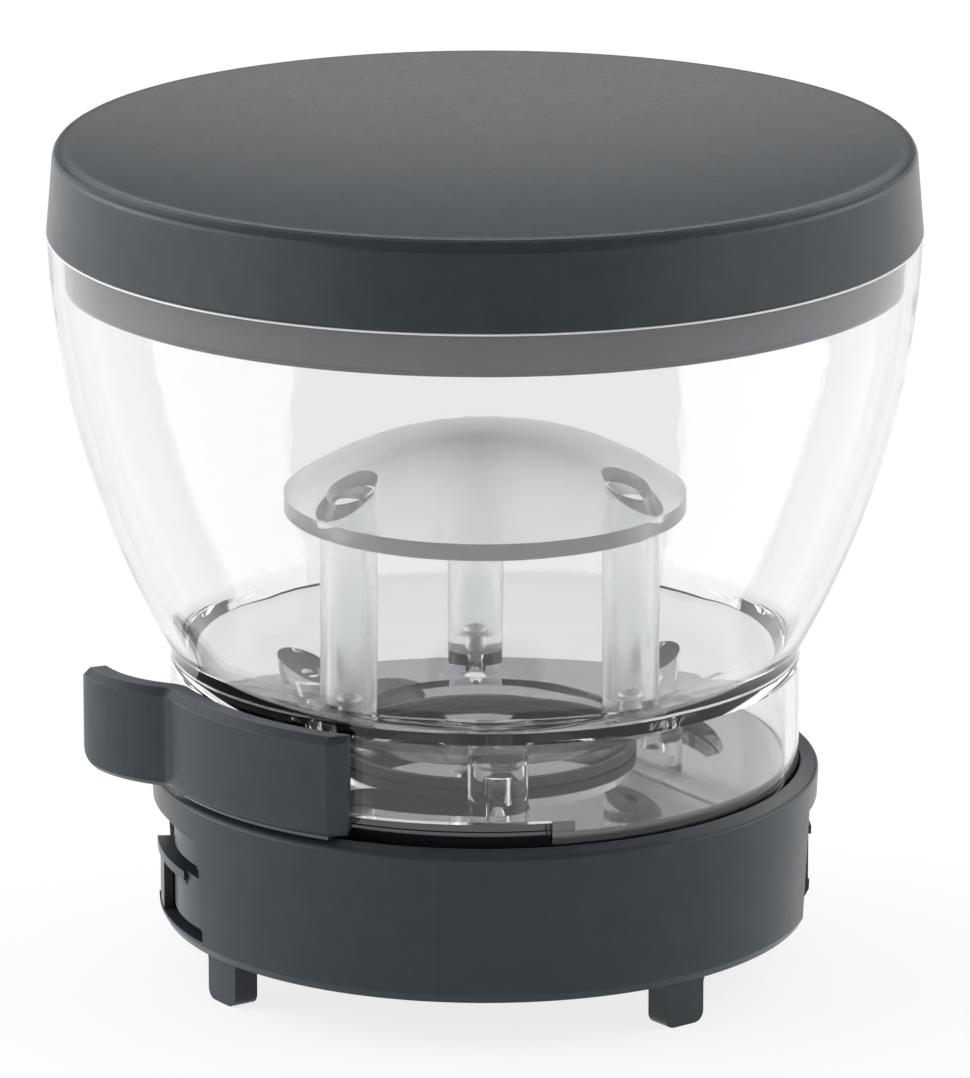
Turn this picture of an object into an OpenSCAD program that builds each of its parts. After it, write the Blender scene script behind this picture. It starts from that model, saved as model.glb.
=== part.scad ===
// Bean hopper of an electric coffee grinder, in millimetres.
// The origin lies on the axis, in the plane of the feet. +Z points up and -Y to the front.

/* [Bowl] */
// Outer radius of the bowl at its rim
bowl_r = 95; // [90:0.5:100]
// Height of the bowl from the lower edge of its neck to its rim
bowl_h = 122.8; // [116:0.2:130]
// Thickness of the clear wall
bowl_wall = 2.8; // [2.4:0.1:3.4]
// Height of the curve's centre above the rim
bowl_curve_rise = 8; // [2:0.5:12]
// Outer radius of the neck
neck_r = 69; // [67:0.5:71]
// Fillet between the side and the neck
neck_fillet = 8; // [4:0.5:10]

/* [Funnel] */
// Radius of the throat that the beans fall through
throat_r = 29; // [27:0.5:31]
// Slope of the funnel, in degrees
funnel_slope = 23.5; // [20:0.5:26]
// Thickness of the funnel
funnel_wall = 3; // [2.4:0.1:3.6]
// Wall of the throat collar
collar_wall = 2.8; // [2:0.1:3.4]
// Height of the throat collar, up to the throat's edge
collar_h = 5.8; // [5:0.1:8]

/* [Finger guard] */
// Radius of the dome
guard_r = 44; // [42:0.5:48]
// Rise of the dome from its rim to its top
guard_rise = 14; // [10:0.5:18]
// Thickness of the dome
guard_wall = 3; // [2.4:0.1:3.6]
// Length of the posts, from their feet to the rim of the dome
post_h = 43; // [36:0.5:50]
// Outer radius of a post
post_r = 6.2; // [5.6:0.1:7]
// Radius of the bore down a post
post_bore_r = 3.75; // [3.6:0.05:4.2]
// Radius of the countersunk mouth of that bore
post_mouth_r = 6.4; // [5:0.1:6.8]
// Thickness of the floor that the screw head clamps
post_floor = 3.6; // [2.5:0.1:5]
// Height of the guard's bosses above the throat's edge
guard_boss_rise = 5.4; // [5:0.1:7]
// Direction of the rear post, in degrees
post_az = 93.5; // [90:0.5:97]

/* [Gate] */
// How far the closed gate laps over each side of a window, in degrees
window_lap = 3; // [2:0.5:8]
// Thickness of the gate
gate_thick = 3.5; // [3.2:0.1:4.2]
// Thickness of the fixed throat plate
plate_thick = 3; // [2.4:0.1:4]
// Radius of the pivot hub
hub_r = 5; // [4.5:0.1:5.4]
// Wall of the pivot bush
bush_wall = 2; // [1.4:0.1:2.4]
// Thickness of the gate's arm, where it passes over the lip
arm_thick = 1.6; // [1.4:0.1:1.8]
// Height of the lip on the gate that closes the neck's notch
gate_lip_h = 2.2; // [1.6:0.1:2.4]
// Thickness of that lip
gate_lip_thick = 1.6; // [1.2:0.1:2]

/* [Lever] */
// Thickness of the lever
lever_thick = 5.4; // [5:0.1:5.8]
// Height of the lever
lever_h = 22.2; // [20:0.2:23]
// Bevel of its upper edge
lever_bevel = 1.6; // [1.2:0.1:2]
// Bevel of its lower edge
lever_low_bevel = 1.2; // [0.8:0.1:1.3]
// Direction of its front end, in degrees
lever_end_az = 245.7; // [244:0.1:247]
// Direction where it leaves the neck, in degrees
lever_bend_az = 204.3; // [203:0.1:206]
// Radius of that bend
lever_bend_r = 3; // [2:0.5:5]
// Turn of that bend, in degrees
lever_bend = 45.7; // [40:0.1:50]
// Radius of the finger tab's outer face
tab_curve_r = 30; // [27:0.5:33]
// Sweep of the finger tab, in degrees
tab_sweep = 52; // [46:0.5:54]

/* [Base ring] */
// Radius of the bore that takes the grinder's collar
bore_r = 63; // [61:0.25:64]
// Depth of that bore
bore_depth = 22.6; // [20:0.2:26]
// Thickness of the skirt at its lower edge
skirt_wall = 8.8; // [8.4:0.1:9]
// Width of the lip round the neck
lip_w = 4.1; // [3.6:0.1:4.8]
// Fall of the lip's upper face towards its outer edge
lip_fall = 1.2; // [0.6:0.1:1.6]
// Thickness of the web across the ring
web_thick = 3; // [2.4:0.1:4]
// Height of the collar seat under the web
seat_h = 4; // [3.6:0.1:5]
// Width of the collar seat
seat_w = 12; // [11.8:0.1:12.2]
// Radius of the hole in the web
web_hole_r = 36; // [33:0.5:37]
// Length of the feet
foot_h = 10.4; // [8:0.2:14]
// Width of a foot
foot_w = 10.7; // [8:0.1:13]
// Thickness of a foot, outwards
foot_thick = 5.9; // [5:0.1:6.6]
// Direction of the first foot, in degrees
foot_az = 34.1; // [32:0.1:37]
// Angle from there to the second foot
foot_spread = 94.4; // [88:0.1:98]
// Height of a bayonet lug
lug_h = 16.8; // [15:0.1:19]
// How far a lug stands out beyond the skirt's lower edge
lug_proud = 0.4; // [0.2:0.1:0.6]
// Wall of a lug
lug_wall = 2; // [1.6:0.1:2.4]
// Thickness of a lug's shelf
lug_shelf = 2; // [1.6:0.1:2.4]
// Height of the sill under a lug
lug_sill = 2.8; // [2.4:0.1:3.2]
// Depth of the recess behind a lug
lug_recess = 4.6; // [4.2:0.1:4.8]
// Direction of the left lug's closed end, in degrees
lug_az = 183; // [181:0.5:185]
// Length of a lug round the ring, in degrees
lug_sweep = 22; // [18:0.5:24]

/* [Lid] */
// Height of the lid above the bowl
lid_h = 19.8; // [17:0.1:23]
// Loss of radius from the lid's lower edge to its top
lid_draft = 1.7; // [1:0.1:2.5]
// Rounding of the lid's top edge
lid_edge_r = 3; // [2:0.1:4]
// Depth of the dished top
lid_dish = 7; // [4:0.1:9]
// Thickness of the lid
lid_wall = 2.5; // [2:0.1:3]
// Depth of the plug below the bowl's rim
plug_depth = 10; // [9:0.1:14]
// Thickness of the plug
plug_wall = 2.2; // [1.8:0.1:2.8]
// Thickness of the seal round the plug
seal_thick = 1.1; // [0.8:0.1:1.6]

/* [Screws and seals] */
// Radius of the circle of the base screws
boss_ring_r = 45.5; // [44.5:0.1:46]
// Outer radius of a base screw's boss
boss_r = 6.5; // [5.8:0.1:6.8]
// Shank radius of the base screws
base_screw_r = 2; // [1.5:0.1:2.4]
// Shank radius of the guard screws
guard_screw_r = 1.5; // [1.2:0.1:1.8]
// Shank radius of the pivot screw
pivot_screw_r = 2; // [1.6:0.1:2.4]
// Shank radius of the lever screws
lever_screw_r = 1; // [0.9:0.05:1.05]
// Thickness of the flat washers
washer_thick = 0.8; // [0.6:0.1:1]
// Thickness of the gasket under the neck
neck_gasket_h = 1; // [0.8:0.1:1.4]
// Thickness of the gasket in the collar seat
collar_gasket_h = 2; // [1.5:0.1:2.4]
// Thickness of the seal under the throat collar
throat_seal_h = 0.9; // [0.7:0.1:1.1]
// Height of the seal's sleeve round the throat collar
seal_sleeve_h = 1.2; // [0.8:0.1:1.6]

/* [Clearances] */
// Gap between parts that pass each other
run_gap = 0.3; // [0.2:0.05:0.5]
// Gap round a piece that sits in a seat
seat_gap = 0.15; // [0.1:0.05:0.2]
// Gap round the pivot hub
pivot_gap = 0.06; // [0.04:0.01:0.1]
// Gap round screw threads and press fits
thread_gap = 0.04; // [0.03:0.01:0.06]
// Gap round screw shanks in plain holes
shank_gap = 0.3; // [0.2:0.05:0.5]
// Gap between the gate's rim and the neck
rim_gap = 0.8; // [0.5:0.1:1.2]
// Gap between the lever and the neck
lever_gap = 0.6; // [0.5:0.1:1]
// Gap between the gate's arm and the lip under it
arm_gap = 0.4; // [0.3:0.1:0.6]
// Height of the bowl's shoulder above the lever
shoulder_gap = 3.4; // [2:0.1:4]
// Gap between the gate and the upper edge of the neck's notch
notch_gap = 2.9; // [2:0.1:3.2]

/* [Hidden] */
$fn = 180;
// How far a cutting body runs past the face it cuts
cut = 1;
// How far joined bodies run into each other
join = 0.5;
// Rounding of small moulded edges
edge_r = 0.5;

// Heights from the feet up
seat_z = foot_h + bore_depth;
web_z = seat_z + seat_h;
ledge_z = web_z + web_thick;
plate_z = ledge_z + plate_thick;
gate_z = plate_z + run_gap;
gate_top = gate_z + gate_thick;
arm_z = gate_top - arm_thick;
lip_z = arm_z - arm_gap;
lever_rebate = 0.8;
lever_z = gate_top - lever_rebate;
seal_z = gate_top + run_gap;
collar_z = seal_z + throat_seal_h;
throat_z = collar_z + collar_h;
guard_boss_z = throat_z + guard_boss_rise;
neck_z = ledge_z + neck_gasket_h;
rim_z = neck_z + bowl_h;

// Screws: radius and height of a pan head for each millimetre of shank radius
pan_head = 1.9;
pan_height = 1.3;
head_r = base_screw_r * pan_head;
head_h = base_screw_r * pan_height;
pilot_depth = 11;
screw_grip = 4;

// Bowl: the side is an arc about a point beyond the axis, from the shoulder over the lever to the rim
neck_in_r = neck_r - bowl_wall;
shoulder_z = lever_z + lever_h + shoulder_gap;
curve_z = rim_z + bowl_curve_rise;
curve_h = curve_z - shoulder_z;
curve_gain = pow(bowl_r, 2) - pow(neck_r, 2) - pow(curve_h, 2) + pow(bowl_curve_rise, 2);
curve_x = curve_gain / (2 * (bowl_r - neck_r));
bowl_curve_r = sqrt(pow(bowl_r - curve_x, 2) + pow(bowl_curve_rise, 2));
fillet_x = neck_r + neck_fillet;
fillet_z = curve_z - sqrt(pow(bowl_curve_r + neck_fillet, 2) - pow(fillet_x - curve_x, 2));
fillet_share = bowl_curve_r / (bowl_curve_r + neck_fillet);
fillet_end_x = curve_x + (fillet_x - curve_x) * fillet_share;
fillet_end_z = curve_z + (fillet_z - curve_z) * fillet_share;
bowl_in_r = function(z) curve_x + sqrt(pow(bowl_curve_r - bowl_wall, 2) - pow(curve_z - z, 2));

// Funnel: height of its upper face, and its thickness along Z
funnel_z = function(r) throat_z + (r - throat_r) * tan(funnel_slope);
funnel_drop = funnel_wall / cos(funnel_slope);
notch_top = gate_top + notch_gap;
boss_az = post_az + 180;
post_ring_r = throat_r + post_r + seat_gap;
guard_boss_foot = throat_z - join;
seal_sleeve_wall = 1.4;

// Guard: the dome is part of a sphere
guard_rim_z = guard_boss_z + post_h + guard_wall;
guard_ball_r = (pow(guard_r, 2) + pow(guard_rise, 2)) / (2 * guard_rise);
guard_ball_z = guard_rim_z + guard_rise - guard_ball_r;
mouth_z = guard_ball_z + sqrt(pow(guard_ball_r, 2) - pow(post_ring_r, 2));
mouth_cone = post_mouth_r - post_bore_r;

// Gate, throat plate and pivot
windows = 5;
gate_travel = 180 / windows;
window_angle = gate_travel - window_lap;
plate_r = neck_in_r - run_gap;
gate_r = neck_in_r - rim_gap;
bush_r = hub_r + pivot_gap + bush_wall;
spring_thick = 0.4;
hub_top = gate_top + run_gap + spring_thick;
washer_lap = 2;
pivot_washer_r = bush_r + washer_lap;
window_in_r = pivot_washer_r + washer_lap;
window_out_r = throat_r - edge_r;
slot_r = boss_r + run_gap;
slot_relief = 0.1;

// Lever, and the arm of the gate in the rebate under it
lever_in_r = neck_r + lever_gap;
lever_out_r = lever_in_r + lever_thick;
lever_apron = 1.5;
lever_end_run = 3.4;
lever_end_share = 0.3;
bevel_az = lever_end_az - lever_end_run / lever_out_r * 180 / PI;
arm_inset_az = 3;
arm_az = lever_bend_az + arm_inset_az;
arm_sweep = bevel_az - arm_az - run_gap;
arm_root = 4;
arm_r = lever_out_r - lever_apron - run_gap;
notch_clear_az = 3.2;
notch_az = arm_az - notch_clear_az;
notch_sweep = arm_sweep + gate_travel + 2 * notch_clear_az;
gate_lip_lap = 5;
gate_lip_az = bevel_az - gate_lip_lap;
gate_lip_sweep = notch_az + notch_sweep - bevel_az + 2 * gate_lip_lap;
gate_lip_r = gate_r - join;
lever_screw_head = 1.7;
lever_screw_ring_r = arm_r - lever_screw_r * lever_screw_head - 2 * seat_gap;
lever_screw_inset_az = 8;
lever_screw_az = [arm_az + lever_screw_inset_az, arm_az + arm_sweep - lever_screw_inset_az];
lever_screw_grip = 7;
tab_low_r = 7;
tab_high_r = 3;
tab_tip_share = 0.8;

// Base ring
skirt_r = bore_r + skirt_wall;
skirt_chamfer = 1.1;
skirt_chamfer_h = 2;
lip_in_r = neck_r + run_gap;
lip_r = lip_in_r + lip_w;
lip_edge_r = 1.2;
seat_in_r = bore_r - seat_w;
web_rim_r = web_hole_r + 2.5;
tower_wall = 1.4;
tower_lift = 1;
rib_w = 1.8;
rib_h = 2.2;
web_ribs = 9;
base_washer_r = head_r + edge_r;
counterbore_r = base_washer_r + run_gap;
counterbore_h = head_h + washer_thick + seat_gap;
tower_r = counterbore_r + tower_wall;
gasket_margin = 1.8;
gasket_in_r = seat_in_r + gasket_margin;
gasket_out_r = bore_r - gasket_margin;
foot_r = bore_r + run_gap + foot_thick;
foot_edge_r = 2.4;
foot_flare = 3;
foot_flare_r = 2;

// Lugs: the angles are in degrees round the ring. The wall of the recess is part of a cylinder off the axis,
// so that it runs out into the skirt.
recess_r = skirt_r - lug_recess;
recess_back = 17;
recess_shift = 25;
recess_lap = 0.2;
recess_head = 3.2;
recess_rise = 1.14;
lug_open = 6;
recess_sweep = lug_sweep + lug_open;
lug_r = skirt_r + lug_proud;
lug_z = foot_h + lug_h;
sill_z = foot_h + lug_sill;
lug_root = 0.5;
lug_end = 2;
lug_cheek = 7;
lug_inset = 0.6;
lug_nib_h = 1;
lug_nib_in = 0.2;
groove_depth = 2.4;
groove_h = 2.7;

// Lid
lid_top_z = rim_z + lid_h;
lid_top_r = bowl_r - lid_draft;
dish_curve_r = (pow(lid_top_r, 2) + pow(lid_dish, 2)) / (2 * lid_dish);
dish_z = function(r) lid_top_z - lid_dish + dish_curve_r - sqrt(pow(dish_curve_r, 2) - pow(r, 2));
dish_steps = 24;
lid_ribs = 8;
plug_z = rim_z - plug_depth;
plug_rise = 4;
plug_top = rim_z + plug_rise;
seal_r = bowl_in_r(plug_z) - run_gap;
plug_r = seal_r - seal_thick - seat_gap;
plug_in_r = plug_r - plug_wall;
flange_h = 1;
flange_r = seal_r - run_gap;
seal_top = rim_z - flange_h;
lid_ring_r = plug_in_r - seat_gap;

// Points of an arc that rounds corner b between a and c
function corner(a, b, c, r, n) =
    let(u = (a - b) / norm(a - b), v = (c - b) / norm(c - b),
        half = acos(u * v) / 2, mid = b + (u + v) / norm(u + v) * r / sin(half),
        from = b + u * r / tan(half) - mid, to = b + v * r / tan(half) - mid,
        start = atan2(from.y, from.x), turn = atan2(from.x * to.y - from.y * to.x, from * to))
    [for (i = [0:n]) mid + r * [cos(start + turn * i / n), sin(start + turn * i / n)]];

// Outline with rounded corners, from a list of [x, y, radius]
function soft(p, n = 6) =
    let(k = len(p), at = function(i) [p[(i + k) % k].x, p[(i + k) % k].y])
    [for (i = [0:k - 1]) each p[i][2] == 0 ? [at(i)] : corner(at(i - 1), at(i), at(i + 1), p[i][2], n)];

// Part of a ring of rectangular section
module ring_sector(r_in, r_out, z, h, az, sweep) {
    rotate([0, 0, az])
        rotate_extrude(angle = sweep)
            translate([r_in, z])
                square([r_out - r_in, h]);
}

// Full ring of rectangular section
module ring(r_in, r_out, z, h) {
    rotate_extrude()
        translate([r_in, z])
            square([r_out - r_in, h]);
}

// Three copies on a circle
module three(r, az) {
    for (i = [0:2])
        rotate([0, 0, az + 120 * i])
            translate([r, 0, 0])
                children();
}

// Pan-head screw with a cross recess, its head standing on z = 0 and its shank hanging down
module pan_screw(r, length) {
    top_r = r * pan_head;
    top_h = r * pan_height;
    slot_l = top_r * 1.2;
    slot_w = top_r * 0.24;
    difference() {
        rotate_extrude()
            polygon(soft([[0, 0, 0], [top_r, 0, 0], [top_r, top_h, top_h * 0.6], [0, top_h, 0]]));
        for (turn = [0, 90])
            rotate([0, 0, turn])
                translate([-slot_l / 2, -slot_w / 2, top_h / 2])
                    cube([slot_l, slot_w, top_h]);
    }
    translate([0, 0, -length])
        rotate_extrude()
            polygon([[0, 0], [r / 2, 0], [r, r], [r, length], [0, length]]);
}

// Ring of windows, the first one centred on az
module window_ring(z, h, az) {
    for (i = [0:windows - 1])
        ring_sector(window_in_r, window_out_r, z, h, az + i * 360 / windows - window_angle / 2, window_angle);
}

// Foot with a flared root
module foot(az) {
    half_w = foot_w / 2;
    flare_w = half_w + foot_flare;
    root_z = foot_h + join;
    flare_z = foot_h + join / 2;
    rotate([0, 0, az])
        intersection() {
            translate([bore_r + run_gap, 0, 0])
                rotate([90, 0, 90])
                    linear_extrude(foot_thick + cut)
                        polygon(soft([[-half_w, 0, foot_edge_r], [half_w, 0, foot_edge_r],
                                      [half_w, flare_z, foot_flare_r], [flare_w, flare_z, 0],
                                      [flare_w, root_z, 0], [-flare_w, root_z, 0],
                                      [-flare_w, flare_z, 0], [-half_w, flare_z, foot_flare_r]]));
            cylinder(r = foot_r, h = foot_h + cut);
        }
}

// Bayonet lug on the sill: shelf with a nib, closed end and a short cheek round an open pocket
module lug(az) {
    root_r = recess_r - lug_wall;
    face_r = lug_r - lug_inset;
    cheek_r = face_r - lug_wall;
    pocket_h = lug_z - lug_shelf - sill_z;
    rotate([0, 0, az]) {
        ring_sector(root_r, lug_r, lug_z - lug_shelf, lug_shelf, 0, lug_sweep);
        ring_sector(root_r, face_r, sill_z - join, pocket_h + 2 * join, 0, lug_end);
        ring_sector(cheek_r, face_r, sill_z - join, pocket_h + 2 * join, lug_root, lug_cheek);
        ring_sector(cheek_r, face_r, lug_z - lug_shelf - lug_nib_h, lug_nib_h + join,
                    lug_sweep - lug_end - lug_nib_in, lug_end);
    }
}

// Recess in the skirt round a lug, up to a slope under the lip, with an undercut above shelf and sill
module lug_recess_cut(az) {
    groove_r = recess_r - groove_depth;
    far_r = lip_r + cut;
    foot_z = foot_h - cut;
    keep_z = sill_z + groove_h / 2;
    slope_z = function(r) lug_z + recess_head + (r - recess_r) * recess_rise;
    rotate([0, 0, az]) {
        difference() {
            rotate([0, 0, -recess_back])
                rotate_extrude(angle = recess_back + recess_sweep)
                    polygon([[groove_r, foot_z], [far_r, foot_z], [far_r, slope_z(far_r)],
                             [groove_r, slope_z(groove_r)]]);
            translate([0, 0, foot_z - cut])
                cylinder(r = recess_r, h = lip_z);
            rotate([0, 0, recess_sweep])
                translate([recess_shift, 0, foot_z - cut])
                    cylinder(r = skirt_r - recess_lap - recess_shift, h = lip_z);
            ring_sector(groove_r - cut, far_r + cut, foot_z - cut, keep_z - foot_z + cut,
                        0, recess_sweep + cut);
        }
        for (z = [lug_z, sill_z])
            ring_sector(groove_r, far_r, z, groove_h, lug_end / 2, recess_sweep - lug_end / 2 + lug_root);
    }
}

// Section of the base ring: skirt, collar seat, web, ledge and lip
module base_section() {
    polygon(soft([[bore_r, foot_h, edge_r], [bore_r, seat_z, 0], [seat_in_r, seat_z, edge_r],
                  [seat_in_r, web_z, 0], [web_rim_r, web_z, 0], [web_rim_r, seat_z, edge_r],
                  [web_hole_r, seat_z, edge_r], [web_hole_r, ledge_z, 0], [lip_in_r, ledge_z, 0],
                  [lip_in_r, lip_z, edge_r], [lip_r, lip_z - lip_fall, lip_edge_r],
                  [skirt_r, foot_h + skirt_chamfer_h, edge_r], [skirt_r - skirt_chamfer, foot_h, edge_r]]));
}

module base_ring() {
    color("#3d4247")
        difference() {
            union() {
                difference() {
                    rotate_extrude()
                        base_section();
                    for (side = [0, 180])
                        lug_recess_cut(lug_az + side);
                }
                three(boss_ring_r, boss_az)
                    translate([0, 0, seat_z + tower_lift])
                        cylinder(r = tower_r, h = seat_h);
                for (i = [0:web_ribs - 1])
                    rotate([0, 0, boss_az + (i + 0.5) * 360 / web_ribs])
                        translate([web_hole_r + join, -rib_w / 2, web_z - rib_h])
                            cube([seat_in_r - web_hole_r, rib_w, rib_h + join]);
                for (side = [0, 180])
                    lug(lug_az + side);
                for (az = [0, foot_spread, 180, 180 + foot_spread])
                    foot(foot_az + az);
            }
            ring(gasket_in_r, gasket_out_r, seat_z - cut, collar_gasket_h + cut);
            three(boss_ring_r, boss_az) {
                translate([0, 0, seat_z - cut])
                    cylinder(r = counterbore_r, h = counterbore_h + cut);
                translate([0, 0, seat_z])
                    cylinder(r = base_screw_r + shank_gap, h = ledge_z - seat_z + cut);
            }
        }
}

module collar_gasket() {
    color("#20211f")
        ring(gasket_in_r + seat_gap, gasket_out_r - seat_gap, seat_z, collar_gasket_h);
}

module base_washers() {
    color("#b9bcc0")
        three(boss_ring_r, boss_az)
            translate([0, 0, seat_z + counterbore_h - washer_thick])
                ring(base_screw_r + seat_gap, base_washer_r, 0, washer_thick);
}

module base_screws() {
    head_z = seat_z + counterbore_h - washer_thick;
    color("#c4c7ca")
        three(boss_ring_r, boss_az)
            translate([0, 0, head_z])
                rotate([180, 0, 0])
                    pan_screw(base_screw_r, plate_z + screw_grip - head_z);
}

module throat_plate() {
    color("#2c3033")
        difference() {
            union() {
                translate([0, 0, ledge_z])
                    cylinder(r = plate_r, h = plate_thick);
                translate([0, 0, ledge_z])
                    cylinder(r = hub_r, h = hub_top - ledge_z);
            }
            window_ring(ledge_z - cut, plate_thick + 2 * cut, boss_az + gate_travel);
            three(boss_ring_r, boss_az)
                translate([0, 0, ledge_z - cut])
                    cylinder(r = base_screw_r + shank_gap, h = plate_thick + 2 * cut);
            translate([0, 0, ledge_z + cut])
                cylinder(r = pivot_screw_r + thread_gap, h = hub_top - ledge_z);
        }
}

module neck_gasket() {
    color("#20211f")
        ring(neck_in_r + seat_gap, neck_r - seat_gap, ledge_z, neck_gasket_h);
}

// Slot that a boss of the bowl stands in while the gate turns
module boss_slot(az) {
    slot_h = gate_thick + 2 * cut;
    half_w = slot_r + slot_relief;
    rotate([0, 0, az]) {
        ring_sector(boss_ring_r - half_w, boss_ring_r + half_w, gate_z - cut, slot_h,
                    -gate_travel, gate_travel);
        for (end = [0, -gate_travel])
            rotate([0, 0, end])
                translate([boss_ring_r, 0, gate_z - cut])
                    cylinder(r = slot_r, h = slot_h);
    }
}

// Countersunk shape of a lever screw, its wide end on z = 0, grown by a gap
module countersunk(length, gap) {
    head_r = lever_screw_r * lever_screw_head;
    cylinder(r1 = head_r + gap, r2 = lever_screw_r + gap, h = head_r - lever_screw_r);
    cylinder(r = lever_screw_r + gap, h = length);
}

module gate_disc() {
    color("#2a2e31")
        difference() {
            union() {
                translate([0, 0, gate_z])
                    cylinder(r = gate_r, h = gate_thick);
                ring_sector(gate_r - arm_root, arm_r, arm_z, arm_thick, arm_az, arm_sweep);
                ring_sector(gate_lip_r - gate_lip_thick, gate_lip_r, gate_z + join, gate_thick - join + gate_lip_h,
                            gate_lip_az, gate_lip_sweep);
            }
            translate([0, 0, gate_z - cut])
                cylinder(r = bush_r + thread_gap, h = gate_thick + 2 * cut);
            window_ring(gate_z - cut, gate_thick + 2 * cut, boss_az);
            for (i = [0:2])
                boss_slot(boss_az + 120 * i);
            for (az = lever_screw_az)
                rotate([0, 0, az])
                    translate([lever_screw_ring_r, 0, arm_z])
                        countersunk(arm_thick + cut, seat_gap);
        }
}

module gate_bush() {
    color("#d9d6cc")
        ring(hub_r + pivot_gap, bush_r, gate_z, gate_thick);
}

// How far a rounded corner of radius r draws in, at a distance e before the end
function drawn_in(r, e) = e >= r ? 0 : r - sqrt(pow(r, 2) - pow(r - e, 2));

// Section of the lever, from the corner of its rebate outwards
lever_section = soft([[lever_thick - lever_apron, lever_rebate, 0], [lever_thick - lever_apron, 0, 0],
                      [lever_thick - lever_low_bevel, 0, 0.2], [lever_thick, lever_low_bevel, 0.6],
                      [lever_thick, lever_h - lever_bevel, 0.6], [lever_thick - lever_bevel, lever_h, 0.6],
                      [0, lever_h, 0.4], [0, lever_rebate, 0.3]], 4);

// Stations along the lever, from its bevelled front end to the tip of the tab:
// place of the inner face, direction of the outer face, share of the thickness, distance before the tip
function lever_stations() =
    let(unit = function(az) [cos(az), sin(az)],
        bend_mid = (lever_out_r + lever_bend_r) * unit(lever_bend_az),
        tab_az = lever_bend_az + lever_bend,
        tab_mid = bend_mid - (lever_bend_r + tab_curve_r) * unit(tab_az),
        tab_in_r = tab_curve_r - lever_thick,
        tip_sweep = tab_low_r / tab_curve_r * 180 / PI)
    concat([[lever_in_r * unit(lever_end_az), lever_end_az, lever_end_share, lever_h]],
           [for (i = [0:28]) let(az = bevel_az + (lever_bend_az - bevel_az) * i / 28)
            [lever_in_r * unit(az), az, 1, lever_h]],
           [for (i = [1:8]) let(az = lever_bend_az + lever_bend * i / 8)
            [bend_mid - (lever_bend_r + lever_thick) * unit(az), az, 1, lever_h]],
           [for (i = [1:12]) let(az = tab_az - (tab_sweep - tip_sweep) * i / 12)
            [tab_mid + tab_in_r * unit(az), az, 1, tab_low_r]],
           [for (i = [1:8]) let(left = 1 - sin(90 * i / 8), az = tab_az - tab_sweep + tip_sweep * left,
                                share = 1 - (1 - tab_tip_share) * pow(1 - left, 8))
            [tab_mid + tab_in_r * unit(az), az, share, tab_low_r * left]]);

// The section swept along the stations, with the tab's corners drawn in
module lever_sweep() {
    stations = lever_stations();
    n = len(lever_section);
    last = (len(stations) - 1) * n;
    points = [for (s = stations) let(low = drawn_in(tab_low_r, s[3]), high = drawn_in(tab_high_r, s[3]))
              for (p = lever_section)
              [s[0].x + p.x * s[2] * cos(s[1]), s[0].y + p.x * s[2] * sin(s[1]),
               low + p.y * (lever_h - low - high) / lever_h]];
    sides = [for (j = [0:len(stations) - 2], k = [0:n - 1])
             let(a = j * n + k, b = j * n + (k + 1) % n)
             each [[a, b + n, b], [a, a + n, b + n]]];
    caps = [for (k = [1:n - 2]) each [[0, k, k + 1], [last, last + k + 1, last + k]]];
    polyhedron(points, concat(sides, caps));
}

module gate_lever() {
    color("#3d4247")
        translate([0, 0, lever_z])
            difference() {
                lever_sweep();
                for (az = lever_screw_az)
                    rotate([0, 0, az])
                        translate([lever_screw_ring_r, 0, lever_rebate - cut])
                            cylinder(r = lever_screw_r + thread_gap, h = lever_screw_grip + 2 * cut);
            }
}

module lever_screws() {
    color("#c4c7ca")
        for (az = lever_screw_az)
            rotate([0, 0, az])
                translate([lever_screw_ring_r, 0, arm_z])
                    countersunk(arm_thick + lever_screw_grip, 0);
}

module pivot_spring() {
    in_r = hub_r + run_gap;
    out_r = pivot_washer_r - run_gap;
    low_z = gate_top + run_gap;
    color("#b9bcc0")
        rotate_extrude()
            polygon([[in_r, hub_top - spring_thick / 2], [in_r, hub_top], [out_r, low_z + spring_thick / 2],
                     [out_r, low_z]]);
}

module pivot_washer() {
    color("#b9bcc0")
        ring(pivot_screw_r + seat_gap, pivot_washer_r, hub_top, washer_thick);
}

module pivot_screw() {
    head_z = hub_top + washer_thick;
    color("#c4c7ca")
        translate([0, 0, head_z])
            pan_screw(pivot_screw_r, head_z - ledge_z - 2 * cut);
}

// Filled outline of the bowl, right of the axis
module bowl_outline() {
    intersection() {
        translate([curve_x, curve_z])
            circle(r = bowl_curve_r);
        translate([0, neck_z])
            square([bowl_r + cut, bowl_h]);
    }
    translate([0, neck_z])
        square([neck_r, fillet_z - neck_z]);
    difference() {
        polygon([[0, fillet_z], [fillet_x, fillet_z], [fillet_end_x, fillet_end_z], [0, fillet_end_z]]);
        translate([fillet_x, fillet_z])
            circle(r = neck_fillet);
    }
}

// Section of the bowl: shell, funnel and throat collar
module bowl_section() {
    difference() {
        bowl_outline();
        intersection() {
            translate([curve_x, curve_z])
                circle(r = bowl_curve_r - bowl_wall);
            translate([0, neck_z])
                square([bowl_r + cut, bowl_h + cut]);
        }
        translate([0, neck_z - cut])
            square([neck_in_r, funnel_z(neck_in_r) - funnel_drop - neck_z + cut]);
    }
    intersection() {
        bowl_outline();
        polygon([[throat_r, throat_z], [bowl_r, funnel_z(bowl_r)], [bowl_r, funnel_z(bowl_r) - funnel_drop],
                 [throat_r, throat_z - funnel_drop]]);
    }
    translate([throat_r, collar_z])
        square([collar_wall, collar_h - join]);
}

// Space below the middle of the funnel, which the bosses are cut to
module under_funnel() {
    boss_far_r = boss_ring_r + boss_r;
    rotate_extrude()
        polygon([[0, ledge_z], [boss_far_r, ledge_z], [boss_far_r, funnel_z(boss_far_r) - funnel_drop / 2],
                 [throat_r, throat_z - funnel_drop / 2], [0, throat_z - funnel_drop / 2]]);
}

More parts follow.
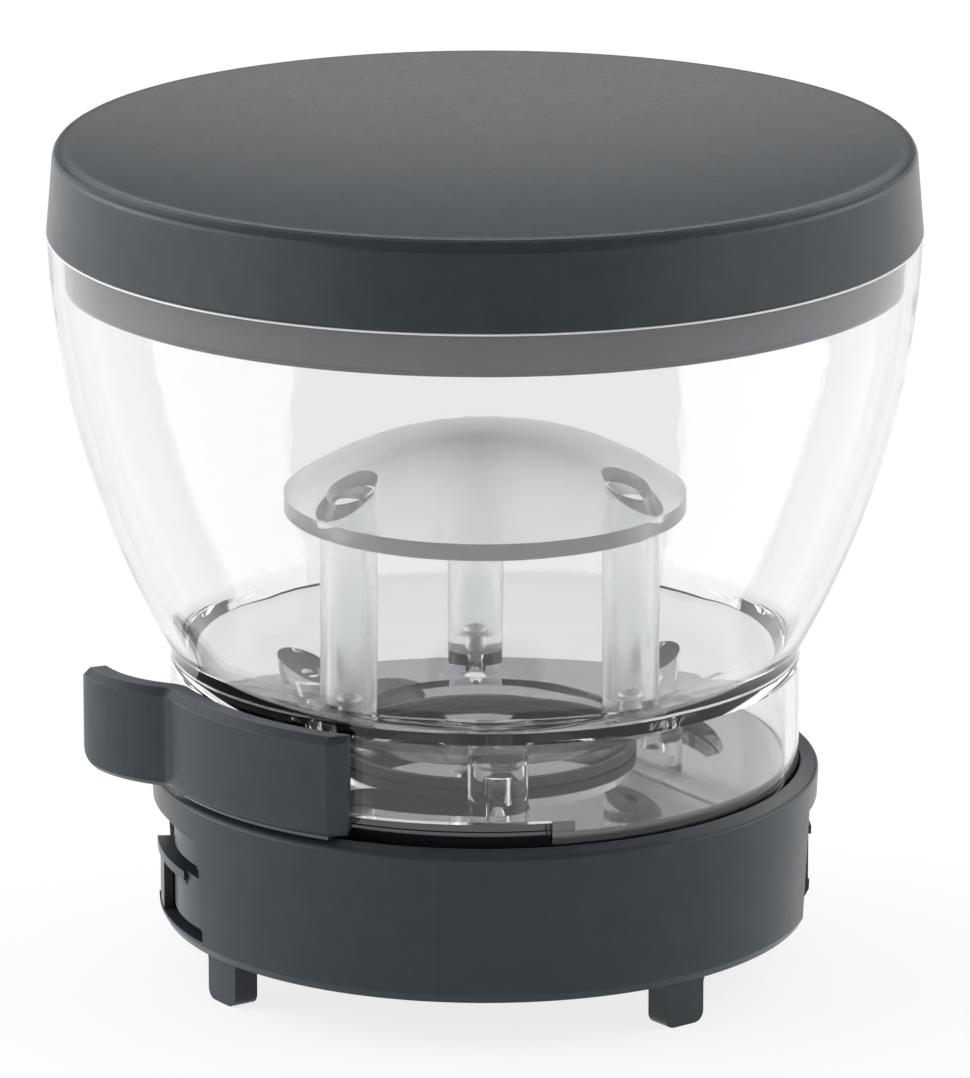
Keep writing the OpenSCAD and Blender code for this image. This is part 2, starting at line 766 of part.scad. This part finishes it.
// Space above the middle of the funnel, which the guard's bosses are cut to
module over_funnel() {
    post_far_r = post_ring_r + post_r + cut;
    rotate_extrude()
        polygon([[throat_r, throat_z - funnel_drop / 2], [post_far_r, funnel_z(post_far_r) - funnel_drop / 2],
                 [post_far_r, guard_boss_z + post_r], [throat_r, guard_boss_z + post_r]]);
}

module hopper_bowl() {
    color("#e8eef0", 0.35)
        difference() {
            union() {
                rotate_extrude()
                    bowl_section();
                intersection() {
                    three(boss_ring_r, boss_az)
                        translate([0, 0, plate_z])
                            cylinder(r = boss_r, h = throat_z - plate_z + boss_r * 2);
                    under_funnel();
                }
                intersection() {
                    three(post_ring_r, post_az)
                        translate([0, 0, guard_boss_foot])
                            cylinder(r = post_r, h = guard_boss_z - guard_boss_foot);
                    over_funnel();
                }
            }
            ring_sector(neck_in_r - cut, neck_r + cut, neck_z - cut, notch_top - neck_z + cut,
                        notch_az, notch_sweep);
            three(boss_ring_r, boss_az)
                translate([0, 0, plate_z - cut])
                    cylinder(r = base_screw_r + thread_gap, h = pilot_depth + cut);
            three(post_ring_r, post_az)
                translate([0, 0, guard_boss_foot + cut])
                    cylinder(r = guard_screw_r + thread_gap, h = guard_boss_z - guard_boss_foot);
        }
}

module throat_seal() {
    sleeve_in_r = throat_r + collar_wall + seat_gap;
    sleeve_r = sleeve_in_r + seal_sleeve_wall;
    sleeve_top = collar_z + seal_sleeve_h;
    color("#2b2d2e")
        rotate_extrude()
            polygon([[throat_r, seal_z], [sleeve_r, seal_z], [sleeve_r, sleeve_top], [sleeve_in_r, sleeve_top],
                     [sleeve_in_r, collar_z], [throat_r, collar_z]]);
}

// Ball that the dome is cut from
module guard_ball(r) {
    translate([0, 0, guard_ball_z])
        sphere(r = r);
}

module finger_guard() {
    mouth_foot = mouth_z - guard_wall;
    color("#dfe3e4", 0.7)
        difference() {
            union() {
                intersection() {
                    difference() {
                        guard_ball(guard_ball_r);
                        guard_ball(guard_ball_r - guard_wall);
                    }
                    translate([0, 0, guard_rim_z - 2 * guard_wall])
                        cylinder(r = guard_r, h = guard_rise + 4 * guard_wall);
                }
                intersection() {
                    three(post_ring_r, post_az)
                        translate([0, 0, guard_boss_z])
                            cylinder(r = post_r, h = mouth_z - guard_boss_z + post_r);
                    guard_ball(guard_ball_r - guard_wall / 2);
                }
            }
            three(post_ring_r, post_az) {
                translate([0, 0, guard_boss_z - cut])
                    cylinder(r = guard_screw_r + seat_gap, h = post_floor + 2 * cut);
                translate([0, 0, guard_boss_z + post_floor])
                    cylinder(r = post_bore_r, h = mouth_z + guard_wall - guard_boss_z);
                translate([0, 0, mouth_foot])
                    cylinder(r1 = post_bore_r, r2 = post_mouth_r, h = mouth_cone);
                translate([0, 0, mouth_foot + mouth_cone])
                    cylinder(r = post_mouth_r, h = 2 * post_mouth_r);
            }
        }
}

module guard_screws() {
    head_z = guard_boss_z + post_floor;
    color("#8d9194")
        three(post_ring_r, post_az)
            translate([0, 0, head_z])
                pan_screw(guard_screw_r, head_z - guard_boss_foot - 2 * cut);
}

// Shell of the lid, with a ring inside it that the plug sits on and ribs out to the side
module lid_cover() {
    shell_in_r = lid_top_r - lid_wall;
    side_in_r = bowl_r - lid_wall;
    ring_in_r = lid_ring_r - lid_wall;
    ring_z = plug_z + 2 * plug_wall;
    ring_top = dish_z(ring_in_r) - lid_wall + join;
    top = [for (i = [dish_steps - 1:-1:0]) let(r = lid_top_r * i / dish_steps) [r, dish_z(r), 0]];
    under = [for (i = [0:dish_steps - 1]) let(r = shell_in_r * i / dish_steps) [r, dish_z(r) - lid_wall, 0]];
    color("#3d4247") {
        rotate_extrude()
            polygon(soft(concat([[bowl_r, rim_z, edge_r], [lid_top_r, lid_top_z, lid_edge_r]], top, under,
                                [[shell_in_r, dish_z(shell_in_r) - lid_wall, 1], [side_in_r, rim_z, edge_r]])));
        ring(ring_in_r, lid_ring_r, ring_z, ring_top - ring_z);
        for (i = [0:lid_ribs - 1])
            rotate([0, 0, i * 360 / lid_ribs])
                translate([lid_ring_r - join, -rib_w / 2, plug_top])
                    cube([shell_in_r + join - lid_ring_r, rib_w, ring_top - plug_top]);
    }
}

module lid_plug() {
    color("#3d4247")
        rotate_extrude()
            polygon(soft([[0, plug_z, 0], [flange_r, plug_z, edge_r], [flange_r, plug_z + flange_h, 0],
                          [plug_r, plug_z + flange_h, 0], [plug_r, plug_top, edge_r],
                          [plug_in_r, plug_top, edge_r], [plug_in_r, plug_z + plug_wall, edge_r],
                          [0, plug_z + plug_wall, 0]]));
}

module lid_seal() {
    in_r = plug_r + seat_gap;
    foot_z = plug_z + flange_h;
    color("#4a4e52")
        rotate_extrude()
            polygon(soft([[in_r, foot_z, seat_gap], [seal_r, foot_z, edge_r], [seal_r, seal_top, edge_r],
                          [in_r, seal_top, seat_gap]]));
}

base_ring();
collar_gasket();
base_screws();
base_washers();
throat_plate();
neck_gasket();
gate_disc();
gate_bush();
gate_lever();
lever_screws();
pivot_spring();
pivot_washer();
pivot_screw();
hopper_bowl();
throat_seal();
finger_guard();
guard_screws();
lid_cover();
lid_plug();
lid_seal();
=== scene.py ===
import math

import bpy
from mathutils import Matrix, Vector


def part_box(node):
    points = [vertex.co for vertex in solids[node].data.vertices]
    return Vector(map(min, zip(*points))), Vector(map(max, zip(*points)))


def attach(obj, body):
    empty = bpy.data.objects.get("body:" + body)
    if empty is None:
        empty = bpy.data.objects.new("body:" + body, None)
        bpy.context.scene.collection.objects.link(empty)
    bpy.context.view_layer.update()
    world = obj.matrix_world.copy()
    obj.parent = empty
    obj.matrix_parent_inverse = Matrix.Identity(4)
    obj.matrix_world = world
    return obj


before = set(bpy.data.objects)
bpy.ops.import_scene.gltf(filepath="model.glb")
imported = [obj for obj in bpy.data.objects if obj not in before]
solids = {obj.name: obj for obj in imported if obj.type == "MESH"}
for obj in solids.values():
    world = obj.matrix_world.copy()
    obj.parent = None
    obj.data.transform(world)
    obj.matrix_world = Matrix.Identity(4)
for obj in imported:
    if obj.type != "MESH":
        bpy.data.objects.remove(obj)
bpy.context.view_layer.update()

# Base ring
# One moulding in dark satin plastic: lip, skirt, collar seat, bayonet lugs and feet.
# It comes from a split tool, which leaves a faint parting line down the front of the skirt; the line is coloured
# darker than the ring to paint the shade along its ridge.


def finish_of(name):
    material = bpy.data.materials.new(name)
    material.use_nodes = True
    return material, material.node_tree, material.node_tree.nodes["Principled BSDF"]


def add_node(tree, kind, inputs=None, **settings):
    node = tree.nodes.new(kind)
    for name, value in settings.items():
        setattr(node, name, value)
    for name, value in (inputs or {}).items():
        if isinstance(value, bpy.types.NodeSocket):
            tree.links.new(value, node.inputs[name])
        else:
            node.inputs[name].default_value = value
    return node


def grain(tree, scale, detail):
    place = add_node(tree, "ShaderNodeTexCoord").outputs["Object"]
    noise = add_node(tree, "ShaderNodeTexNoise", {"Vector": place, "Scale": scale, "Detail": detail})
    return noise.outputs["Fac"]


def fade(tree, value, start, end, low, high):
    span = {"Value": value, "From Min": start, "From Max": end, "To Min": low, "To Max": high}
    return add_node(tree, "ShaderNodeMapRange", span).outputs["Result"]


# Nearly all of a noise lies between these two values.
noise_low, noise_high = 0.3, 0.7


def between(tree, noise, low, high):
    return fade(tree, noise, noise_low, noise_high, low, high)


def shades(tree, noise, dark, light):
    ramp = add_node(tree, "ShaderNodeValToRGB", {"Fac": noise})
    first, last = ramp.color_ramp.elements
    first.position, first.color = noise_low, (*dark, 1)
    last.position, last.color = noise_high, (*light, 1)
    return ramp.outputs["Color"]


def raise_by(tree, shader, height, depth, strength=1.0):
    bump = add_node(tree, "ShaderNodeBump", {"Height": height, "Distance": depth, "Strength": strength})
    tree.links.new(bump.outputs["Normal"], shader.inputs["Normal"])


def facing_up(tree):
    normal = add_node(tree, "ShaderNodeTexCoord").outputs["Normal"]
    up = add_node(tree, "ShaderNodeSeparateXYZ", {"Vector": normal}).outputs["Z"]
    return between(tree, up, low=0.05, high=1.0)


def satin_plastic(name, dark, light, grain_depth, grain_scale=2600, top_only=False):
    material, tree, shader = finish_of(name)
    mottle = grain(tree, scale=160, detail=4)
    sheen = grain(tree, scale=240, detail=3)
    tree.links.new(shades(tree, mottle, dark, light), shader.inputs["Base Color"])
    tree.links.new(between(tree, sheen, low=0.285, high=0.325), shader.inputs["Roughness"])
    shader.inputs["Specular IOR Level"].default_value = 0.3
    strength = facing_up(tree) if top_only else 1.0
    raise_by(tree, shader, grain(tree, grain_scale, detail=2), grain_depth, strength)
    return material


def dress(node, material):
    solids[node].data.materials.clear()
    solids[node].data.materials.append(material)


ring_dark, ring_light = (0.026, 0.034, 0.041), (0.031, 0.040, 0.047)
ring_plastic = satin_plastic("ring_plastic", ring_dark, ring_light, grain_depth=0.00002)
dress("base_ring", ring_plastic)


def new_piece(name, points, faces):
    mesh = bpy.data.meshes.new(name)
    mesh.from_pydata(points, [], faces)
    piece = bpy.data.objects.new(name, mesh)
    bpy.context.scene.collection.objects.link(piece)
    return piece


def parting_line(name, azimuth, low, high, width, proud, steps):
    out = Vector((math.cos(azimuth), math.sin(azimuth), 0))
    half = width / 2 * Vector((-out.y, out.x, 0))
    outside_ring = 0.1
    points, faces = [], []
    for step in range(steps + 1):
        start = outside_ring * out + Vector((0, 0, low + (high - low) * step / steps))
        spot = solids["base_ring"].ray_cast(start, -out)[1]
        points += [spot - half - proud * out, spot + proud * out, spot + half - proud * out]
    for step in range(steps):
        for first in (3 * step, 3 * step + 1):
            faces.append((first, first + 1, first + 4, first + 3))
    return new_piece(name, points, faces)


# Darker than the ring plastic: painted shade along the parting line's ridge, not a different plastic.
painted_shade_plastic = satin_plastic("painted_shade_plastic", (0.010, 0.013, 0.016), (0.014, 0.018, 0.021), grain_depth=0.00001)
flash = parting_line("parting_line", azimuth=math.radians(262), low=0.0120, high=0.0445,
                     width=0.00030, proud=0.00003, steps=24)
flash.data.materials.append(painted_shade_plastic)
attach(flash, "hopper")

# Gaskets and seals
# Soft black rubber rings: one in the seat that meets the grinder's collar, one under the neck,
# one on the throat collar over the gate.


def soft_rubber(name, dark, light):
    material, tree, shader = finish_of(name)
    bloom = grain(tree, scale=60, detail=4)
    sheen = grain(tree, scale=300, detail=2)
    tree.links.new(shades(tree, bloom, dark, light), shader.inputs["Base Color"])
    tree.links.new(between(tree, sheen, low=0.55, high=0.7), shader.inputs["Roughness"])
    raise_by(tree, shader, grain(tree, scale=1800, detail=2), depth=0.00003)
    return material


black_rubber = soft_rubber("black_rubber", (0.030, 0.032, 0.034), (0.042, 0.044, 0.046))
for node in ("collar_gasket", "neck_gasket", "throat_seal"):
    dress(node, black_rubber)

# Screws, washers and cup spring
# Zinc-plated steel, turned and pressed. The base screws come up from below, the guard screws go down
# the posts, the pivot screw holds the gate on its hub.


def plated_steel(name, dark, light):
    material, tree, shader = finish_of(name)
    cloud = grain(tree, scale=400, detail=3)
    sheen = grain(tree, scale=900, detail=3)
    shader.inputs["Metallic"].default_value = 1.0
    tree.links.new(shades(tree, cloud, dark, light), shader.inputs["Base Color"])
    tree.links.new(between(tree, sheen, low=0.24, high=0.38), shader.inputs["Roughness"])
    raise_by(tree, shader, grain(tree, scale=3000, detail=2), depth=0.00001)
    return material


zinc = plated_steel("zinc", (0.48, 0.49, 0.50), (0.60, 0.61, 0.62))
for node in ("base_screws", "base_washers", "lever_screws", "pivot_spring", "pivot_washer", "pivot_screw",
             "guard_screws"):
    dress(node, zinc)

# Throat plate and gate
# Two flat polished mouldings in black plastic with the same windows. The plate is fixed to the ring,
# the gate turns on the plate's hub in a pale bearing bush.


def polished_plastic(name, dark, light, smooth, dull):
    material, tree, shader = finish_of(name)
    mottle = grain(tree, scale=40, detail=4)
    sheen = grain(tree, scale=120, detail=3)
    tree.links.new(shades(tree, mottle, dark, light), shader.inputs["Base Color"])
    tree.links.new(between(tree, sheen, smooth, dull), shader.inputs["Roughness"])
    raise_by(tree, shader, grain(tree, scale=250, detail=2), depth=0.00001)
    shader.inputs["Coat Weight"].default_value = 1.0
    shader.inputs["Coat IOR"].default_value = 1.6
    return material


gate_plastic = polished_plastic("gate_plastic", (0.011, 0.013, 0.015), (0.016, 0.018, 0.020), smooth=0.05, dull=0.1)
dress("throat_plate", gate_plastic)
dress("gate_disc", gate_plastic)
bush_plastic = polished_plastic("bush_plastic", (0.66, 0.64, 0.58), (0.74, 0.72, 0.66), smooth=0.3, dull=0.4)
dress("gate_bush", bush_plastic)

# Lever
# Finger lever in the same dark plastic as the ring, screwed onto the gate's arm from below.
# It wraps round the neck, creases outwards and ends in a rounded tab for the fingertip.
lever_plastic = satin_plastic("lever_plastic", ring_dark, ring_light, grain_depth=0.00001)
dress("gate_lever", lever_plastic)

# Bowl
# Clear moulding with a polished wall, funnel, throat collar and screw bosses.
# The melt leaves the wall very slightly wavy, and a thin pale ring just under the rim paints the highlight along
# its edge.
clear_ior = 1.49
clear_plastic, tree, shader = finish_of("clear_plastic")
shader.inputs["Base Color"].default_value = (0.905, 0.912, 0.918, 1)
shader.inputs["Transmission Weight"].default_value = 1.0
shader.inputs["Specular IOR Level"].default_value = 0.25
shader.inputs["IOR"].default_value = clear_ior
polish = grain(tree, scale=200, detail=2)
tree.links.new(between(tree, polish, low=0.0, high=0.02), shader.inputs["Roughness"])
raise_by(tree, shader, grain(tree, scale=22, detail=1), depth=0.0004, strength=0.25)


def reckon(tree, operation, first, second):
    return add_node(tree, "ShaderNodeMath", {0: first, 1: second}, operation=operation).outputs["Value"]


def either(tree, choice, first, second):
    return add_node(tree, "ShaderNodeMixShader", {"Fac": choice, 1: first, 2: second}).outputs["Shader"]


def let_light_through(tree, shader, tint):
    ray = add_node(tree, "ShaderNodeLightPath").outputs
    soft = reckon(tree, "MAXIMUM", ray["Is Shadow Ray"], ray["Is Diffuse Ray"])
    through = add_node(tree, "ShaderNodeBsdfTransparent", {"Color": (*tint, 1)})
    surface = either(tree, soft, shader.outputs["BSDF"], through.outputs["BSDF"])
    tree.links.new(surface, tree.nodes["Material Output"].inputs["Surface"])


let_light_through(tree, shader, tint=(0.95, 0.955, 0.96))
dress("hopper_bowl", clear_plastic)


def hoop(name, radius, height, thick, turns, sides):
    points, faces = [], []
    for i in range(turns):
        for j in range(sides):
            around, across = 2 * math.pi * i / turns, 2 * math.pi * j / sides
            reach = radius + thick * math.cos(across)
            rise = height + thick * math.sin(across)
            points.append((reach * math.cos(around), reach * math.sin(around), rise))
            k, m = (i + 1) % turns, (j + 1) % sides
            faces.append((i * sides + j, k * sides + j, k * sides + m, i * sides + m))
    ring = new_piece(name, points, faces)
    ring.data.shade_smooth()
    return ring


# Thin pale opaque ring just under the bowl's rim: a painted highlight along the rim's edge.
highlight_inset, highlight_drop = 0.00028, 0.00030
bowl_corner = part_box("hopper_bowl")[1]
rim_highlight = hoop("painted_rim_highlight", bowl_corner.x - highlight_inset, bowl_corner.z - highlight_drop, thick=0.00024, turns=240, sides=10)
painted_highlight_plastic = polished_plastic("painted_highlight_plastic", (0.80, 0.81, 0.82), (0.88, 0.89, 0.90), smooth=0.08, dull=0.16)
rim_highlight.data.materials.append(painted_highlight_plastic)
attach(rim_highlight, "hopper")

# Finger guard
# Frosted dome on three hollow posts, moulded in one piece from a slightly milky clear plastic.
# Screws down the posts fix it to bosses on the funnel.
frosted_plastic, tree, shader = finish_of("frosted_plastic")
haze = grain(tree, scale=35, detail=3)
haze_dark, haze_light = (0.980, 0.983, 0.986), (0.994, 0.996, 0.998)
tree.links.new(shades(tree, haze, haze_dark, haze_light), shader.inputs["Base Color"])
shader.inputs["Transmission Weight"].default_value = 0.93
shader.inputs["Subsurface Weight"].default_value = 1.0
shader.inputs["Subsurface Radius"].default_value = (1, 1, 1)
shader.inputs["Subsurface Scale"].default_value = 0.01
shader.inputs["Specular IOR Level"].default_value = 0.12
shader.inputs["IOR"].default_value = clear_ior
frost = grain(tree, scale=300, detail=2)
tree.links.new(between(tree, frost, low=0.18, high=0.23), shader.inputs["Roughness"])
raise_by(tree, shader, grain(tree, scale=700, detail=2), depth=0.000004)
let_light_through(tree, shader, tint=(0.86, 0.87, 0.875))
dress("finger_guard", frosted_plastic)

# Lid
# Dark moulded cover with a dished top, grained on the top and smooth on the side.
# A plug is pressed into it from below and carries a soft seal band that grips the bowl.
lid_plastic = satin_plastic("lid_plastic", (0.025, 0.033, 0.039), (0.031, 0.040, 0.047),
                            grain_depth=0.00010, grain_scale=1700, top_only=True)
dress("lid_cover", lid_plastic)
plug_plastic = satin_plastic("plug_plastic", (0.085, 0.093, 0.102), (0.098, 0.107, 0.116), grain_depth=0.00001)
dress("lid_plug", plug_plastic)
grey_rubber = soft_rubber("grey_rubber", (0.085, 0.091, 0.098), (0.10, 0.107, 0.114))
dress("lid_seal", grey_rubber)

# Table
# Wide white board that runs on behind the object, so that the background is white too.
# It keeps the object's shadow, and clear and shiny pieces show it as the camera does.
reach = 12.0
table = new_piece("table", [(-reach, -reach, 0), (reach, -reach, 0), (reach, reach, 0), (-reach, reach, 0)],
                  [(0, 1, 2, 3)])
table_white = bpy.data.materials.new("table_white")
table_white.use_nodes = True
tree = table_white.node_tree
tree.nodes.clear()
ray = add_node(tree, "ShaderNodeLightPath").outputs
seen = reckon(tree, "MAXIMUM", ray["Is Camera Ray"], ray["Is Glossy Ray"])
seen = reckon(tree, "MAXIMUM", seen, ray["Is Transmission Ray"])
paint = add_node(tree, "ShaderNodeBsdfDiffuse", {"Color": (0.8, 0.8, 0.8, 1)})
shadow = add_node(tree, "ShaderNodeBsdfDiffuse", {"Color": (0.22, 0.22, 0.22, 1)})
white = add_node(tree, "ShaderNodeEmission", {"Color": (1, 1, 1, 1), "Strength": 0.80})
shown = add_node(tree, "ShaderNodeAddShader", {0: shadow.outputs["BSDF"], 1: white.outputs["Emission"]})
surface = either(tree, seen, paint.outputs["BSDF"], shown.outputs["Shader"])
add_node(tree, "ShaderNodeOutputMaterial", {"Surface": surface})
table.data.materials.append(table_white)

# Studio
# Pale room that is brightest behind and above the object, with a lit strip low on each side wall.
# Two soft boxes stand left and right, the larger one on the left.
studio = bpy.data.worlds.new("studio")
bpy.context.scene.world = studio
studio.use_nodes = True
tree = studio.node_tree
outward = add_node(tree, "ShaderNodeTexCoord").outputs["Generated"]
way = add_node(tree, "ShaderNodeSeparateXYZ", {"Vector": outward}).outputs
sky = add_node(tree, "ShaderNodeValToRGB", {"Fac": way["Z"]})
floor_line, bright_line = sky.color_ramp.elements
floor_line.position, floor_line.color = 0.20, (0.03, 0.032, 0.034, 1)
bright_line.position, bright_line.color = 0.50, (1.0, 1.0, 1.0, 1)
for place, level in ((0.66, 1.0), (0.90, 0.30)):
    sky.color_ramp.elements.new(place).color = (level, level, level, 1)
towards_back = fade(tree, way["Y"], start=-0.4, end=0.6, low=0.4, high=2.0)
glow = tree.nodes["Background"]
tree.links.new(sky.outputs["Color"], glow.inputs["Color"])
tree.links.new(towards_back, glow.inputs["Strength"])

left_wall = fade(tree, way["X"], start=-0.95, end=-0.5, low=7.2, high=0.0)
right_wall = fade(tree, way["X"], start=0.5, end=0.95, low=0.0, high=5.0)
near_floor = fade(tree, way["Z"], start=0.02, end=0.24, low=1.0, high=0.0)
wall_light = reckon(tree, "MULTIPLY", reckon(tree, "ADD", left_wall, right_wall), near_floor)
walls = add_node(tree, "ShaderNodeBackground", {"Color": (1, 1, 1, 1), "Strength": wall_light})
room = add_node(tree, "ShaderNodeAddShader", {0: glow.outputs["Background"], 1: walls.outputs["Background"]})

ray = add_node(tree, "ShaderNodeLightPath").outputs
seen = reckon(tree, "MAXIMUM", ray["Is Camera Ray"], ray["Is Transmission Ray"])
clear = add_node(tree, "ShaderNodeBackground", {"Color": (1, 1, 1, 1), "Strength": 1.0})
surroundings = either(tree, seen, room.outputs["Shader"], clear.outputs["Background"])
tree.links.new(surroundings, tree.nodes["World Output"].inputs["Surface"])


def soft_box(name, place, aim, width, tall, power):
    light = bpy.data.lights.new(name, "AREA")
    light.shape = "RECTANGLE"
    light.size = width
    light.size_y = tall
    light.energy = power
    lamp = bpy.data.objects.new(name, light)
    lamp.location = place
    lamp.rotation_euler = (Vector(aim) - Vector(place)).to_track_quat("-Z", "Y").to_euler()
    lamp.visible_glossy = False
    bpy.context.scene.collection.objects.link(lamp)


mid_object = (0, 0, 0.09)
soft_box("left_box", (-1.6, 0.1, 0.72), mid_object, width=1.9, tall=1.3, power=20)
soft_box("right_box", (1.6, 0.0, 0.66), mid_object, width=1.7, tall=1.2, power=12)

# Camera
# A long lens from slightly above, straight on to the front.
# Light may pass many clear walls before it is lost.
lens = bpy.data.cameras.new("camera")
lens.sensor_fit = "VERTICAL"
lens.sensor_height = 36
lens.lens = 300.6
lens.clip_end = 100
camera = bpy.data.objects.new("camera", lens)
target = Vector((0, 0, 0.0938))
distance = 1.968
tilt = math.radians(15.4)
camera.location = target + distance * Vector((0, -math.cos(tilt), math.sin(tilt)))
camera.rotation_euler = (target - camera.location).to_track_quat("-Z", "Y").to_euler()
bpy.context.scene.collection.objects.link(camera)
bpy.context.scene.camera = camera
bpy.context.scene.view_settings.view_transform = "Standard"
bounces = 24
bpy.context.scene.cycles.transmission_bounces = bounces
bpy.context.scene.cycles.max_bounces = bounces
